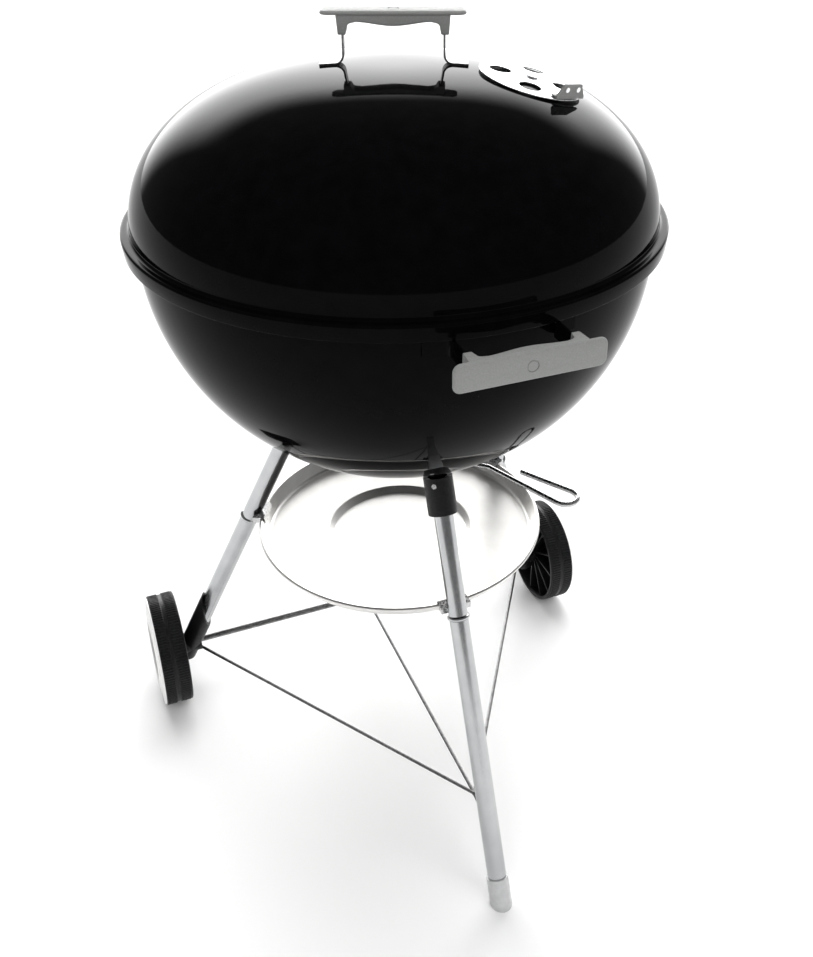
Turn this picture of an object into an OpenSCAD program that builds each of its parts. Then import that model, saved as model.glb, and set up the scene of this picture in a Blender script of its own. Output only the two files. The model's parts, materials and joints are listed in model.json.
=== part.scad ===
// Kettle charcoal grill on three tube legs, two of them with wheels.
// Origin: on the floor under the kettle's axis. +Z up, X along the wheel axle,
// -Y towards the single front leg, +Y towards the wheels. Millimetres.

/* [Kettle] */
// Height of the lid's flange above the floor
rim_z = 755; // [700:5:800]
// Outer radius of the lid's flange, the widest part of the kettle
rim_r = 291; // [285:1:300]
// Thickness of the enamelled steel sheet
shell_t = 1.6; // [1.2:0.2:2.4]

/* [Lid] */
// Radius of the lid's dome where it meets the flange
lid_r = 281; // [278:1:282]
// Height of the dome above the flange
lid_h = 152; // [140:1:200]
// Squareness of the dome: 2 is an ellipse, and more makes its top flatter and its shoulder tighter
lid_power = 2.6; // [2:0.1:3]
// Depth of the skirt that overlaps the bowl's rim
skirt_h = 17; // [14:1:20]

/* [Bowl] */
// Outer radius of the bowl's wall just below its rim
bowl_r = 278; // [274:1:279]
// Depth of the bowl below the start of its curve
bowl_d = 282; // [270:1:300]
// Number of air vents in the bowl's bottom, with one blade each
vents = 3; // [3:1:3]

/* [Handles] */
// Length of each grip's face plate
grip_l = 146; // [130:1:160]
// Width of each grip's face plate
grip_w = 28; // [24:1:32]
// How far the grip's two horns stand behind the face plate
grip_d = 24; // [22:1:28]
// Height of the lid's grip above the top of the dome
grip_lift = 53; // [50:1:70]
// Turn of the lid, with its handle and damper, on the bowl
lid_turn = -21; // [-90:1:90]
// Distance of the bowl grips' faces from the kettle's axis
bowl_grip_y = 336; // [330:1:345]
// Height of the bowl grips' centre below the flange
bowl_grip_drop = 27; // [24:1:40]

/* [Damper] */
// Distance of the lid damper's pivot from the lid's axis
damper_at = 140; // [120:1:150]
// Direction of the lid damper from the lid's axis, on the bowl
damper_dir = -29; // [-40:1:-10]
// Radius of the damper's disc
damper_r = 54.5; // [50:0.5:60]
// Radius of each air hole in the damper and in the lid
damper_hole_r = 11.5; // [9:0.5:12]

/* [Legs] */
// Outer radius of the leg tubes
tube_r = 11.1; // [10:0.1:12.5]
// Distance of the front foot from the kettle's axis
foot_y = 316.3; // [300:0.1:330]
// Lean of the front leg from the vertical
front_lean = 22.6; // [20:0.1:24]
// Distance of each rear leg's centre line from the middle, at the axle
rear_x = 262; // [255:1:265]
// Lean of the rear legs from the vertical
rear_lean = 25.2; // [24:0.1:26]
// Direction in which the left leg leans, from +X
rear_dir = -41.5; // [-45:0.5:-38]
// Height of the bead formed in each tube to carry the ash catcher
bead_z = 326; // [300:1:340]

/* [Wheels] */
// Radius of the wheels
wheel_r = 76.5; // [70:0.5:80]
// Width of the wheels
wheel_w = 38; // [34:1:42]
// Distance of the wheels' outer faces from the middle
wheel_x = 313; // [310:1:320]
// Distance of the axle behind the kettle's axis
axle_y = 175; // [170:1:180]
// Radius of the axle rod
axle_r = 4; // [4:0.5:5]
// Radial clearance of the wheels on the axle
running_gap = 0.06; // [0.02:0.01:0.1]

/* [Ash catcher] */
// Outer radius of the dish
dish_r = 177.7; // [170:0.1:178]
// Distance of the dish's centre behind the kettle's axis
dish_y = 12; // [11:0.5:13]
// Height of the dish's rolled rim
dish_z = 333; // [332:1:336]

/* [Grates] */
// Height of the cooking grate
cook_z = 712; // [700:1:720]
// Spacing of the cooking grate's rods
cook_pitch = 18; // [14:1:24]
// Height of the charcoal grate
coal_z = 572; // [560:1:574]
// Spacing of the charcoal grate's rods
coal_pitch = 30; // [24:1:40]

/* [Sweeper] */
// Radius that the sweeper's blades reach
blade_r = 112; // [100:1:120]
// Width of each blade, as an angle about the shaft
blade_angle = 40; // [34:1:50]
// Height of the lever rod
lever_z = 440; // [436:1:444]
// Radius of the lever rod
lever_r = 3; // [2.5:0.5:4]

/* [Hidden] */

$fn = 48;
gap = 0.3;                       // clearance between pieces that move past each other
press = 0.05;                    // clearance of fixed pins in their holes

// Colours
enamel = [0.03, 0.03, 0.035];
nylon = [0.78, 0.79, 0.78];
aluminium = [0.80, 0.81, 0.82];
steel = [0.45, 0.45, 0.46];
black_plastic = [0.06, 0.06, 0.065];
white_plastic = [0.93, 0.93, 0.92];

// Kettle
flange_r = 3;                    // outer rounding of the lid's flange
fillet_r = 4;                    // hollow rounding between dome and flange
dome_z = rim_z + fillet_r;       // where the dome's curve starts
apex_z = dome_z + lid_h;
bead_r = 3.5;                    // rolled rim of the bowl
bead_c = [rim_r - 8, rim_z - shell_t - gap - bead_r];
bowl_z = bead_c.y - 9;           // where the bowl's curve starts
bowl_bottom_z = bowl_z - bowl_d;
arc_n = 28;                      // points on each shell's curve

// Handles
plate_t = 4.5;                   // face plate of a grip
plate_corner = 7;
body_w = 25;                     // width of the grip behind its face plate
horn_x = 51;                     // straps and horns from the grip's middle
horn_out = 57;
horn_in = 47;
arch_d = 11.5;                   // grip's depth beside a horn
belly_d = 15.5;                  // grip's depth at its middle
strap_t = 2;
strap_w = 18;
strap_in = 12;                   // depth of a strap's end behind the face
strap_bend = 8;
screw_r = 2;
screw_d = 18;                    // depth of the screws behind the face
screw_in = 3.4;                  // reach of a screw on either side of its strap
screw_out = 3.8;
screw_head_r = 3.2;
foot_out = 75.5;                 // outer end of a strap's foot

// Damper, in the frame of its pivot: x outwards, z along the lid's normal
damper_u = pow(damper_at / lid_r, lid_power);
damper_tilt = atan(lid_h * lid_power / 2 * damper_u / (damper_at * sqrt(1 - damper_u)));
damper_z = dome_z + lid_h * sqrt(1 - damper_u);
damper_curve = 520;              // radius of the disc's own dome
damper_gap = 1.2;
damper_t = 1.2;
damper_holes = 4;
damper_hole_at = 33;
tab_dir = -41;
tab_w = 40;
tab_top_w = 28;
tab_h = 17;
tab_t = 2.4;
tab_at = 52;
pivot_r = 3;

// Legs. s is the distance along a leg from its foot or from the axle.
front_top_s = 512;
front_bead_s = bead_z / cos(front_lean);
tube_t = 1.2;
tube_in_r = tube_r - tube_t;
socket_r = tube_in_r - press;
collar_r = 16.6;
collar_s = [475, 518];
cap_r = 12.9;
cap_s = 34;
axle_z = wheel_r;
rear_top_s = 432;
rear_bead_s = (bead_z - axle_z) / cos(rear_lean);
rear_tube_s = 34;                // lower end of a rear tube, inside its insert
insert_r = 14;
insert_low_s = -24;
insert_high_s = 104;
insert_cut_s = 48;               // its slanting end starts here on the inner side
insert_turn = 20;
insert_cut = atan((insert_high_s - insert_cut_s) / (2 * insert_r));
insert_x = 277;                  // outer face of an insert, beside the wheel
bead_out = 2;                    // how far a tube's bead stands out
bead_h = 4.4;

// Brace
wire_r = 2;
brace_v = [0, -234, 94.5];
brace_end = [-250, 170, 68];
brace_front_z = 88;              // where its stub ends inside the front leg
brace_front = [0, -foot_y + brace_front_z * tan(front_lean) + tube_in_r - 2, brace_front_z];

// Wheels, along the axle from the wheel's middle plane: a is outwards
wheel_mid = wheel_x - wheel_w / 2;
half_w = wheel_w / 2;
tyre_in_r = 71;
hub_r = 11.5;
hub_a = [-(wheel_mid - insert_x - 1.5), 10];
web_a = [4, 7];
spokes = 12;
spoke_t = 2;
trim_in_r = 41;
trim_out_r = 75;
trim_t = 1.8;
trim_rise = 2.5;                 // how far the trim's inner edge stands out
trim_lip = 2.8;
cap_out_r = 9;
cap_h = 5;
cap_wall = 1.5;
axle_half = wheel_mid + hub_a[1] + gap + cap_h - cap_wall - 0.5;

// Ash catcher
roll_r = 2.2;                    // rolled rim
fold_r = 168;
floor_z = dish_z - 15;
recess_r = 90;
recess_z = floor_z - 7;
dish_t = 1.2;
clip_w = 36;                     // clips over the rim
clip_t = 1;
clip_finger = 8;
clip_slot = 11;
rear_dish_s = (dish_z - axle_z) / cos(rear_lean);
rear_tube_xy = [-rear_x + rear_dish_s * sin(rear_lean) * cos(rear_dir),
                axle_y + rear_dish_s * sin(rear_lean) * sin(rear_dir)];

// Grates
cook_r = 268;
cook_wire_r = 2.5;
rod_r = 1.9;
coal_wire_r = 3;
coal_rod_r = 2.6;
coal_depth = (bowl_z - coal_z + coal_wire_r) / (bowl_d - shell_t);
coal_out_r = (bowl_r - shell_t) * sqrt(1 - coal_depth * coal_depth) - gap;   // rests on the bowl
coal_r = coal_out_r - coal_wire_r;
cross_l = 380;                   // length of the rods across the underside
cross_x = 110;
lift_w = 60;                     // cooking grate's two lifting loops
lift_h = 22;
lift_in = 20;
support_r = 263;
support_w = 20;
support_t = 2.5;

// Sweeper
vent_in = 42;
vent_out = 92;
vent_w = 22;
shaft_r = 5;
bush_r = 9;
blade_t = 1.2;
blade_gap = 0.8;
hub_plate_r = 24;
lever_bend = [84.4, -70.9];      // where the lever rod turns
bend_r = 14;
lap = 0.4;                       // length that joined rods share
loop_c = [140, -160];            // centre of the loop's round end
loop_r = 14.5;
loop_dir = [-66, -57.7];         // directions of the loop's two sides
loop_back = 68;                  // length of the side with the free end

// ---------- shapes ----------

// A quarter of an ellipse, from its axis to its rim. A power above 2 squares its shoulder
function quarter(r, h, z, sign, power = 2) =
    [for (i = [0 : arc_n]) let (a = 90 - 90 * i / arc_n)
        [r * pow(cos(a), 2 / power), z + sign * h * sin(a)]];
function reversed(v) = [for (i = [len(v) - 1 : -1 : 0]) v[i]];
function arc(c, r, a0, a1, n = 6) =
    [for (i = [0 : n]) let (a = a0 + (a1 - a0) * i / n) [c.x + r * cos(a), c.y + r * sin(a)]];
function bowl_in_z(r) =
    bowl_z - (bowl_d - shell_t) * sqrt(1 - pow(r / (bowl_r - shell_t), 2));

module rod(a, b, r) {
    d = b - a;
    translate(a) rotate([0, acos(d.z / norm(d)), atan2(d.y, d.x)]) cylinder(h = norm(d), r = r);
}

// The kettle's two solid bodies, used to trim what is welded to them
module dome_solid(grow = 0) {
    rotate_extrude($fn = 240)
        polygon(concat([[0, dome_z]], quarter(lid_r + grow, lid_h + grow, dome_z, 1, lid_power)));
}
module bowl_solid(grow = 0) {
    rotate_extrude($fn = 240)
        polygon(concat([[0, bowl_z + 20]], quarter(bowl_r + grow, bowl_d + grow, bowl_z, -1),
                       [[bowl_r + grow, bowl_z + 20]]));
}
module bowl_inside() {
    rotate_extrude($fn = 240)
        polygon(concat([[0, bowl_z]],
                       quarter(bowl_r - shell_t - press, bowl_d - shell_t - press, bowl_z, -1)));
}

// ---------- lid ----------

module damper_frame() {
    rotate([0, 0, damper_dir]) translate([damper_at, 0, damper_z]) rotate([0, damper_tilt, 0])
        children();
}
module lid_shell() {
    flange_c = [rim_r - flange_r, rim_z - flange_r];
    fillet_c = [lid_r + fillet_r, dome_z];
    skirt_z = rim_z - skirt_h;
    outside = concat(quarter(lid_r, lid_h, dome_z, 1, lid_power),
                     arc(fillet_c, fillet_r, 180, 270),
                     arc(flange_c, flange_r, 90, 0),
                     [[rim_r - 1.2, skirt_z + 0.6], [rim_r - 1.8, skirt_z]]);
    inside = concat([[rim_r - 2.8, skirt_z]],
                    arc(flange_c, flange_r - shell_t, 0, 90),
                    arc(fillet_c, fillet_r + shell_t, 270, 180),
                    reversed(quarter(lid_r - shell_t, lid_h - shell_t, dome_z, 1, lid_power)));
    color(enamel) difference() {
        rotate_extrude($fn = 96) polygon(concat(outside, inside));
        damper_frame() {
            for (i = [0 : damper_holes - 1])
                rotate([0, 0, (i + 0.5) * 360 / damper_holes])
                    translate([damper_hole_at, 0, -20]) cylinder(h = 30, r = damper_hole_r - 1);
            translate([0, 0, -20]) cylinder(h = 30, r = pivot_r + press);
        }
    }
}

// A grip lies on its back: its face is at z = 0 and its horns point down.
module grip() {
    function belly(x) = belly_d - (belly_d - arch_d) * (1 - cos(180 * x / 40)) / 2;
    half = concat([[horn_out, -plate_t + 1], [horn_out - 1.5, -grip_d], [horn_in + 0.5, -grip_d],
                   [horn_in - 3, -arch_d - 3.2], [horn_in - 5, -arch_d - 0.9]],
                  [for (x = [40 : -8 : 0]) [x, -belly(x)]]);
    mirrored = [for (i = [len(half) - 2 : -1 : 0]) [-half[i].x, half[i].y]];
    cx = grip_l / 2 - plate_corner;
    cy = grip_w / 2 - plate_corner;
    color(nylon) difference() {
        union() {
            rotate([90, 0, 0]) linear_extrude(body_w, center = true)
                polygon(concat(half, mirrored));
            for (x = [-cx, cx], y = [-cy, cy])
                translate([x, y, -plate_t]) cylinder(h = plate_t, r = plate_corner);
            translate([-cx, -grip_w / 2, -plate_t]) cube([2 * cx, grip_w, plate_t]);
            translate([-grip_l / 2, -cy, -plate_t]) cube([grip_l, 2 * cy, plate_t]);
        }
        for (side = [-1, 1]) {
            translate([side * horn_x - strap_t / 2 - press, -strap_w / 2 - press, -grip_d - 1])
                cube([strap_t + 2 * press, strap_w + 2 * press, grip_d - strap_in + 1]);
            screw_hole(side);
        }
    }
}
// The screws run along the grip, from the outside of each horn through its strap.
module screw_frame(side) {
    translate([side * horn_x, 0, -screw_d]) rotate([0, side * 90, 0]) children();
}
module screw_hole(side) {
    screw_frame(side) {
        translate([0, 0, -screw_in]) cylinder(h = 20, r = screw_r + press);
        translate([0, 0, screw_out]) cylinder(h = 10, r = screw_head_r + 0.4);
    }
}
module grip_screws() {
    color(steel) for (side = [-1, 1]) screw_frame(side) {
        translate([0, 0, 0.2 - screw_in]) cylinder(h = screw_in + screw_out, r = screw_r);
        translate([0, 0, screw_out]) cylinder(h = 1.3, r = screw_head_r);
    }
}
// A strap from inside a horn down to a foot at depth reach, sloping by slope
module strap(side, reach, slope) {
    bend_c = [horn_x + strap_t / 2 + strap_bend, -reach + strap_t + strap_bend];
    foot_drop = slope * (foot_out - bend_c.x);
    side_line = concat([[horn_x + strap_t / 2, -strap_in]], arc(bend_c, strap_bend, 180, 270),
                       [[foot_out, bend_c.y - strap_bend - foot_drop],
                        [foot_out, bend_c.y - strap_bend - foot_drop - strap_t - 4],
                        [bend_c.x, bend_c.y - strap_bend - strap_t - 4]],
                       arc(bend_c, strap_bend + strap_t, 260, 180),
                       [[horn_x - strap_t / 2, -strap_in]]);
    mirror([side < 0 ? 1 : 0, 0, 0]) difference() {
        rotate([90, 0, 0]) linear_extrude(strap_w, center = true) polygon(side_line);
        translate([horn_x, 0, -screw_d]) rotate([0, 90, 0])
            cylinder(h = 10, r = screw_r + press, center = true);
    }
}

module handle_frame() {
    rotate([0, 0, lid_turn + 180]) translate([0, 0, apex_z + grip_lift]) children();
}
module lid_handle_grip() {
    handle_frame() grip();
}
module lid_handle_straps() {
    color(steel) difference() {
        handle_frame() for (side = [-1, 1]) strap(side, grip_lift + 1.3, 0.06);
        dome_solid();
    }
}
module lid_handle_screws() {
    handle_frame() grip_screws();
}
// A bent strip inside the dome, to hang the lid on the bowl's rim
module lid_hook() {
    wall = [252, dome_z + 62];
    tip = [248, dome_z + 3];
    bend = 8;
    color(enamel) rotate([0, 0, lid_turn + 90]) intersection() {
        rotate([90, 0, 0]) linear_extrude(22, center = true)
            polygon(concat([[wall.x + 14, wall.y], [tip.x + 2 * bend, tip.y + bend]],
                           arc([tip.x + bend, tip.y + bend], bend, 0, -180, 10),
                           [[tip.x, tip.y + 24], [tip.x + 2, tip.y + 24]],
                           arc([tip.x + bend, tip.y + bend], bend - 2, -180, 0, 10),
                           [[wall.x + 11, wall.y]]));
        dome_solid(-shell_t);
    }
}

module damper_cap(r) {
    translate([0, 0, damper_gap + damper_t - damper_curve]) sphere(r = r, $fn = 96);
}
module damper_disc() {
    color(aluminium) damper_frame() difference() {
        intersection() {
            translate([0, 0, -6]) cylinder(h = 12, r = damper_r, $fn = 96);
            difference() {
                damper_cap(damper_curve);
                damper_cap(damper_curve - damper_t);
            }
        }
        for (i = [0 : damper_holes - 1]) rotate([0, 0, i * 360 / damper_holes])
            translate([damper_hole_at, 0, -10]) cylinder(h = 20, r = damper_hole_r);
        translate([0, 0, -10]) cylinder(h = 20, r = pivot_r + running_gap);
    }
}
// The thumb tab stands on the disc's edge
module tab_frame() {
    damper_frame() rotate([0, 0, tab_dir]) translate([tab_at, 0, -1.5]) rotate([90, 0, 90]) children();
}
module damper_tab() {
    r = 3;
    top = [tab_top_w / 2 - r, tab_h - r];
    color(nylon) tab_frame() difference() {
        union() {
            linear_extrude(tab_t) polygon([
                [-tab_w / 2, 2.2], [tab_w / 2, 2.2], [tab_w / 2, 5], [top.x + r, top.y],
                [top.x, tab_h], [-top.x, tab_h], [-top.x - r, top.y], [-tab_w / 2, 5]]);
            for (side = [-1, 1]) translate([side * top.x, top.y, 0]) cylinder(h = tab_t, r = r);
            translate([-tab_w / 2 + 4, 2.2, -9]) cube([tab_w - 8, 1.4, 10]);
        }
        tab_rivet_holes(1.5 + press);
    }
}
module tab_rivet_holes(r) {
    for (side = [-1, 1]) translate([side * 8, 11.5, -5]) cylinder(h = 12, r = r);
}
module damper_tab_rivets() {
    color(aluminium) tab_frame() for (side = [-1, 1]) translate([side * 8, 11.5, 0]) {
        translate([0, 0, -0.8]) cylinder(h = tab_t + 1.6, r = 1.5);
        translate([0, 0, tab_t]) cylinder(h = 0.9, r = 2.6);
        translate([0, 0, -0.9]) cylinder(h = 0.9, r = 2.6);
    }
}
module damper_pivot_rivet() {
    color(aluminium) damper_frame() {
        translate([0, 0, -3]) cylinder(h = 3 + damper_gap + damper_t + 0.4, r = pivot_r);
        translate([0, 0, damper_gap + damper_t + 0.3]) cylinder(h = 1.6, r = 6);
        translate([0, 0, -3.2]) cylinder(h = 1.2, r = 6);
    }
}

// ---------- bowl ----------

module bowl_shell() {
    wall = quarter(bowl_r, bowl_d, bowl_z, -1);
    lining = quarter(bowl_r - shell_t, bowl_d - shell_t, bowl_z, -1);
    color(enamel) difference() {
        rotate_extrude($fn = 96)
            polygon(concat(wall, [[bowl_r + 0.5, bowl_z + 3.2]], arc(bead_c, bead_r, -110, 130, 12),
                           [[bowl_r + 0.2, bead_c.y], [bowl_r - 1.2, bowl_z + 4]], reversed(lining)));
        translate([0, 0, bowl_bottom_z - 5]) cylinder(h = 20, r = bush_r - 2);
        for (i = [0 : vents - 1]) rotate([0, 0, i * 360 / vents + 60]) vent_slot();
    }
}
module vent_slot() {
    r = vent_w / 2;
    translate([0, 0, bowl_bottom_z - 10]) {
        for (x = [vent_in + r, vent_out - r]) translate([x, 0, 0]) cylinder(h = 60, r = r);
        translate([vent_in + r, -r, 0]) cube([vent_out - vent_in - 2 * r, vent_w, 60]);
    }
}
module front_frame() {
    translate([0, -bowl_grip_y, rim_z - bowl_grip_drop]) rotate([90, 0, 0]) children();
}
module rear_frame() {
    rotate([0, 0, 180]) front_frame() children();
}
module bowl_straps() {
    for (side = [-1, 1]) strap(side, bowl_grip_y - bowl_r + 7.5, 0.2);
}
module front_handle_grip() {
    front_frame() grip();
}
module rear_handle_grip() {
    rear_frame() grip();
}
module front_handle_straps() {
    color(enamel) difference() {
        front_frame() bowl_straps();
        bowl_solid();
    }
}
module rear_handle_straps() {
    color(enamel) difference() {
        rear_frame() bowl_straps();
        bowl_solid();
    }
}
module front_handle_screws() {
    front_frame() grip_screws();
}
module rear_handle_screws() {
    rear_frame() grip_screws();
}
module grate_supports() {
    color(enamel) intersection() {
        for (a = [0 : 90 : 270]) rotate([0, 0, a + 45])
            translate([support_r, -support_w / 2, cook_z - cook_wire_r - support_t - gap])
                cube([30, support_w, support_t]);
        bowl_inside();
    }
}

// ---------- legs ----------

module front_leg() {
    translate([0, -foot_y, 0]) rotate([-front_lean, 0, 0]) children();
}
module left_leg() {
    translate([-rear_x, axle_y, axle_z]) rotate([0, rear_lean, rear_dir]) children();
}
module right_leg() {
    mirror([1, 0, 0]) left_leg() children();
}
module tube(s0, s1, bead_s) {
    color(aluminium) difference() {
        union() {
            translate([0, 0, s0]) cylinder(h = s1 - s0, r = tube_r);
            translate([0, 0, bead_s - bead_h / 2]) cylinder(h = bead_h / 2, r1 = tube_r,
                                                            r2 = tube_r + bead_out);
            translate([0, 0, bead_s]) cylinder(h = bead_h / 2, r1 = tube_r + bead_out, r2 = tube_r);
        }
        translate([0, 0, s0 - 1]) cylinder(h = s1 - s0 + 2, r = tube_in_r);
    }
}
module socket(s0, s1) {
    translate([0, 0, s0]) cylinder(h = s1 - s0, r = socket_r);
}
module front_leg_socket() {
    color(enamel) difference() {
        front_leg() socket(front_top_s - 60, front_top_s + 60);
        bowl_solid();
    }
}
module left_leg_socket() {
    color(enamel) difference() {
        left_leg() socket(rear_top_s - 60, rear_top_s + 60);
        bowl_solid();
    }
}
module right_leg_socket() {
    mirror([1, 0, 0]) left_leg_socket();
}
module front_leg_tube() {
    difference() {
        front_leg() tube(4, front_top_s, front_bead_s);
        rod(brace_v, brace_front, wire_r + press, $fn = 24);
    }
}
module left_leg_tube() {
    left_leg() tube(rear_tube_s, rear_top_s, rear_bead_s);
}
module right_leg_tube() {
    mirror([1, 0, 0]) left_leg_tube();
}
module front_leg_collar() {
    color(black_plastic) difference() {
        front_leg() difference() {
            translate([0, 0, collar_s[0]]) cylinder(h = collar_s[1] - collar_s[0], r = collar_r);
            translate([0, 0, collar_s[0] - 1]) cylinder(h = 80, r = tube_r + press);
            rivet_hole(collar_r, 2 + press);
        }
        bowl_solid(0.5);
    }
}
// A radial hole towards the front left of the collar
module rivet_hole(start, r) {
    translate([0, 0, collar_s[1] - 8]) rotate([0, 90, -128]) translate([0, 0, start - 6])
        cylinder(h = 8, r = r);
}
module collar_rivet() {
    color(steel) front_leg() translate([0, 0, collar_s[1] - 8]) rotate([0, 90, -128]) {
        translate([0, 0, tube_r + 0.2]) cylinder(h = collar_r - tube_r, r = 2);
        translate([0, 0, collar_r]) cylinder(h = 0.9, r = 2.8);
    }
}
module front_foot_cap() {
    color(white_plastic) difference() {
        front_leg() difference() {
            translate([0, 0, -12]) cylinder(h = cap_s + 12, r = cap_r);
            translate([0, 0, 4]) cylinder(h = cap_s, r = tube_r + press);
        }
        translate([-50, -foot_y - 50, -40]) cube([100, 100, 40]);
    }
}
module left_leg_insert() {
    color(black_plastic) difference() {
        union() {
            left_leg() difference() {
                translate([0, 0, insert_low_s])
                    cylinder(h = insert_high_s - insert_low_s, r = insert_r);
                translate([0, 0, rear_tube_s]) cylinder(h = 100, r = tube_r + press);
                rotate([0, 0, insert_turn]) translate([insert_r, 0, insert_cut_s])
                    rotate([0, insert_cut, 0]) translate([-80, -40, 0]) cube([160, 80, 80]);
            }
            translate([-insert_x, axle_y, axle_z]) rotate([0, 90, 0])
                cylinder(h = insert_x - rear_x + 13, r = insert_r);
        }
        translate([-insert_x - 40, axle_y - 40, 0]) cube([40, 80, 160]);
        translate([-insert_x - 1, axle_y, axle_z]) rotate([0, 90, 0]) cylinder(h = 60, r = axle_r + press);
        rod(brace_v, brace_end, wire_r + press, $fn = 24);
    }
}
module right_leg_insert() {
    mirror([1, 0, 0]) left_leg_insert();
}
// Three wires from one point behind the front leg to the axle and both rear legs
module leg_brace() {
    right_end = [-brace_end.x, brace_end.y, brace_end.z];
    color(steel) {
        for (end = [brace_end, right_end, brace_front, [0, axle_y - axle_r - 0.5, axle_z]])
            rod(brace_v, end, wire_r, $fn = 24);
        translate(brace_v) sphere(r = wire_r + 0.8, $fn = 24);
    }
}

// ---------- wheels ----------

module left_side() {
    translate([-wheel_mid, axle_y, axle_z]) rotate([0, -90, 0]) children();
}
module right_side() {
    translate([wheel_mid, axle_y, axle_z]) rotate([0, 90, 0]) children();
}
module axle() {
    color(steel) translate([-axle_half, axle_y, axle_z]) rotate([0, 90, 0])
        cylinder(h = 2 * axle_half, r = axle_r);
}
// The wheel's outer face is towards +z. The trim covers it, round the hub.
module wheel() {
    edge = 2.5;
    groove = 1.2;
    groove_a = 3.2;
    face_a = half_w - trim_t - press;
    color(black_plastic) union() {
        rotate_extrude($fn = 96) polygon([
            [tyre_in_r, 1 - half_w], [tyre_in_r + 1, -half_w], [wheel_r - edge, -half_w],
            [wheel_r, edge - half_w], [wheel_r, -groove_a], [wheel_r - groove, groove - groove_a],
            [wheel_r - groove, groove_a - groove], [wheel_r, groove_a], [wheel_r, face_a - 1],
            [wheel_r - 1, face_a], [tyre_in_r, face_a]]);
        rotate_extrude($fn = 96) polygon([
            [axle_r + running_gap, hub_a[0]], [hub_r, hub_a[0]], [hub_r, web_a[0]],
            [tyre_in_r + 1, web_a[0]], [tyre_in_r + 1, web_a[1]], [hub_r, web_a[1]],
            [hub_r, hub_a[1]], [axle_r + running_gap, hub_a[1]]]);
        for (i = [0 : spokes - 1]) rotate([0, 0, i * 360 / spokes])
            translate([hub_r - 1, -spoke_t / 2, hub_a[0] + 1])
                cube([tyre_in_r - hub_r + 2, spoke_t, web_a[0] - hub_a[0]]);
        for (i = [0 : spokes - 1]) rotate([0, 0, i * 360 / spokes])
            translate([hub_r - 1, -spoke_t / 2, web_a[1] - 1])
                cube([trim_in_r - hub_r - 2, spoke_t, 4]);
    }
}
module wheel_trim() {
    top = half_w + trim_rise;
    color(white_plastic) rotate_extrude($fn = 96) polygon([
        [trim_out_r, half_w - trim_t], [trim_out_r, half_w - 0.6], [trim_out_r - 0.6, half_w],
        [trim_in_r + 1, top], [trim_in_r, top - 1], [trim_in_r, top - trim_lip],
        [trim_in_r + trim_t, top - trim_lip], [trim_in_r + trim_t, top - trim_t],
        [tyre_in_r, half_w - trim_t]]);
}
module hub_cap() {
    color(steel) translate([0, 0, hub_a[1] + gap]) difference() {
        cylinder(h = cap_h, r = cap_out_r);
        translate([0, 0, -1]) cylinder(h = cap_h - cap_wall + 1, r = axle_r + press);
    }
}
module left_wheel() {
    left_side() wheel();
}
module right_wheel() {
    right_side() wheel();
}
module left_wheel_trim() {
    left_side() wheel_trim();
}
module right_wheel_trim() {
    right_side() wheel_trim();
}
module left_hub_cap() {
    left_side() hub_cap();
}
module right_hub_cap() {
    right_side() hub_cap();
}

// ---------- ash catcher ----------

module ash_catcher() {
    rim_c = [dish_r - roll_r, dish_z];
    top = concat([[0, recess_z], [recess_r - 4, recess_z], [recess_r, floor_z - 1],
                  [fold_r - 4, floor_z], [fold_r, floor_z + 2]],
                 arc(rim_c, roll_r, 150, -90, 10));
    color(aluminium) translate([0, dish_y, 0]) rotate_extrude($fn = 96)
        polygon(concat(top, [[fold_r + 1.5, floor_z + 1.5], [fold_r - 3, floor_z - dish_t],
                             [recess_r + 1.5, floor_z - 1 - dish_t],
                             [recess_r - 3, recess_z - dish_t], [0, recess_z - dish_t]]));
}
// Each clip is a channel over the dish's rim, with two fingers beside the tube.
module ash_catcher_clips() {
    side_dir = atan2(rear_tube_xy.y - dish_y, -rear_tube_xy.x);
    color(steel) {
        clip(-90) front_leg() clip_bore(-90);
        clip(180 - side_dir) left_leg() clip_bore(180);
        clip(side_dir) right_leg() clip_bore(180);
    }
}
// children: the tube's bore
module clip(dir) {
    bow = dish_r - sqrt(dish_r * dish_r - clip_w * clip_w / 4);
    wall_r = dish_r + gap;
    top_z = dish_z + roll_r + gap;
    rim_in = dish_r - 2 * roll_r - gap - bow;
    low_z = dish_z - 4;
    difference() {
        translate([0, dish_y, 0]) rotate([0, 0, dir]) difference() {
            rotate([90, 0, 0]) linear_extrude(clip_w, center = true) polygon([
                [rim_in - 2.7, low_z], [rim_in - 0.8, top_z + clip_t],
                [wall_r + clip_finger, top_z + clip_t], [wall_r + clip_finger, low_z],
                [wall_r, low_z], [wall_r, top_z], [rim_in, top_z], [rim_in - 1.7, low_z]]);
            translate([wall_r - 1, -clip_slot / 2, low_z - 1])
                cube([clip_finger / 2 + 1, clip_slot, top_z - low_z + 1]);
        }
        children();
    }
}
module clip_bore(turn) {
    rotate([0, 0, turn]) cylinder(h = 600, r = tube_r + press);
}

// ---------- grates ----------

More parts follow.
